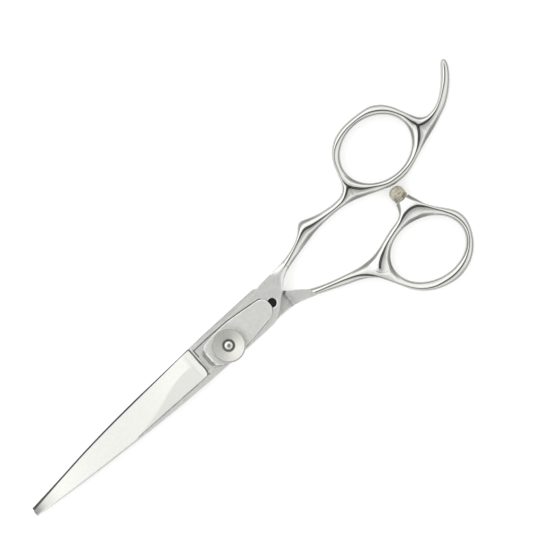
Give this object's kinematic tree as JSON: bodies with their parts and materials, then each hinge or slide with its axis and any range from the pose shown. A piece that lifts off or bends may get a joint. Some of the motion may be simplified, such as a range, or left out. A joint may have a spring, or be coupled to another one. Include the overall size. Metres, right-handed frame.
{
  "type": "hair cutting shears",
  "caption": "Slim hair cutting shears, straight blades, offset oval finger rings with a curved finger rest, dial-adjusted leaf-spring pivot and rubber bumper.",
  "frame": {"origin": "pivot axis on the flat back of the pivot, where the closed shears rest", "axes": "+X along the closed blades to the tips, +Y to the thumb ring side, +Z to the dial"},
  "size_m": [0.1717, 0.0542, 0.008],
  "materials": {
    "satin_steel": "fine satin flats with a polished ground panel",
    "polished_steel": "mirror polished",
    "stud_steel": "polished",
    "dial_steel": "spun satin",
    "plate_steel": "satin",
    "spring_steel": "satin",
    "bush_bronze": "turned",
    "slide_plastic": "smooth low-friction plastic",
    "bumper_rubber": "translucent, slightly aged",
    "core_brass": "turned"
  },
  "bodies": {
    "rear_half": {"rear_blade": "satin_steel", "rear_handle": "polished_steel", "pivot_bush": "bush_bronze", "head_washer": "slide_plastic", "blade_washer": "slide_plastic", "bumper": "bumper_rubber", "bumper_screw": "core_brass"},
    "front_half": {"front_blade": "satin_steel", "front_handle": "polished_steel", "pivot_stud": "stud_steel", "tension_plate": "plate_steel", "spring_washer": "spring_steel"},
    "click_ring": {"click_ring": "spring_steel"},
    "dial": {"adjuster_dial": "dial_steel"}
  },
  "joints": [
    {"name": "pivot", "type": "hinge", "parent": "rear_half", "child": "front_half", "pos_m": [0, 0, 0.00285], "axis": [0, 0, 1], "range_deg": [0, 120]},
    {"name": "dial_feed", "type": "slide", "parent": "front_half", "child": "click_ring", "axis": [0, 0, 1], "range_m": [-0.000125, 0.000125]},
    {"name": "dial_turn", "type": "hinge", "parent": "click_ring", "child": "dial", "pos_m": [0, 0, 0.0071], "axis": [0, 0, 1], "range_deg": [-90, 90]}
  ],
  "couplings": [
    {"joint": "dial_turn", "follows": "dial_feed", "rad_per_m": 12566}
  ]
}
